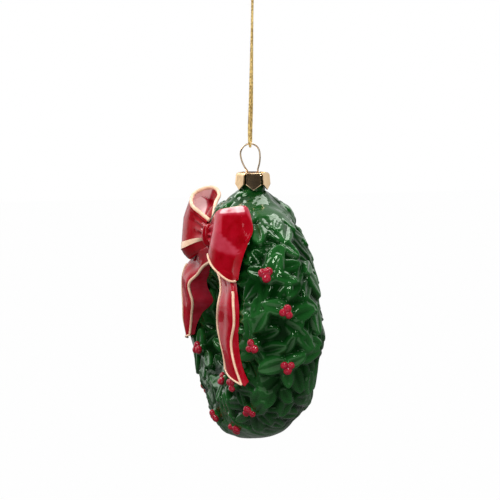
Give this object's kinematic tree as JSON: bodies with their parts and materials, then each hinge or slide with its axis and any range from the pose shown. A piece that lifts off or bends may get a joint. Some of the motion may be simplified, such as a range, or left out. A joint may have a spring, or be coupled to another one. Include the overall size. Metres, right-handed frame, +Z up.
{
  "type": "hanging wreath ornament",
  "caption": "Glass wreath ornament with leaf relief, a ribbon bow and berries, hung from a crown cap, a wire ring and a cord loop.",
  "frame": {"origin": "the hang point, in the cord's loop just under its knot", "axes": "+Z up, -Y out of the wreath's front where the bow is, +X to the right seen from the front"},
  "size_m": [0.0883, 0.0387, 0.1734],
  "materials": {
    "green_glass": "glossy green paint on blown glass",
    "red_glass": "glossy red paint with cream edges",
    "berry_glass": "glossy raspberry red paint",
    "cap_metal": "polished pale gold sheet",
    "wire_metal": "polished spring wire",
    "gold_cord": "braided metallic thread"
  },
  "bodies": {
    "cord": {"hanging_cord": "gold_cord", "cord_knot": "gold_cord"},
    "hanger": {"wire_hanger": "wire_metal"},
    "cap": {"crown_cap": "cap_metal"},
    "wreath": {"wreath_body": "green_glass", "bow_knot": "red_glass", "bow_loop_left": "red_glass", "bow_loop_right": "red_glass", "bow_tail_left": "red_glass", "bow_tail_right": "red_glass", "berry_cluster_01": "berry_glass", "berry_cluster_02": "berry_glass", "berry_cluster_03": "berry_glass", "berry_cluster_04": "berry_glass", "berry_cluster_05": "berry_glass", "berry_cluster_06": "berry_glass", "berry_cluster_07": "berry_glass", "berry_cluster_08": "berry_glass", "berry_cluster_09": "berry_glass", "berry_cluster_10": "berry_glass", "berry_cluster_11": "berry_glass", "berry_cluster_12": "berry_glass", "berry_cluster_13": "berry_glass", "berry_cluster_14": "berry_glass", "berry_cluster_15": "berry_glass", "berry_cluster_16": "berry_glass", "berry_cluster_17": "berry_glass", "berry_cluster_18": "berry_glass", "berry_cluster_19": "berry_glass", "berry_cluster_20": "berry_glass", "berry_cluster_21": "berry_glass", "berry_cluster_22": "berry_glass", "berry_cluster_23": "berry_glass", "berry_cluster_24": "berry_glass", "berry_cluster_25": "berry_glass"}
  },
  "joints": [
    {"name": "hang_swing", "type": "hinge", "parent": "cord", "child": "hanger", "pos_m": [0, -0.001, -0.05915], "axis": [0, 1, 0], "range_deg": [-45, 45]},
    {"name": "hanger_pull", "type": "slide", "parent": "hanger", "child": "cap", "axis": [0, 0, -1], "range_m": [0, 0.008]},
    {"name": "cap_turn", "type": "hinge", "parent": "cap", "child": "wreath", "pos_m": [0, 0, -0.075], "axis": [0, 0, 1], "continuous": true}
  ]
}
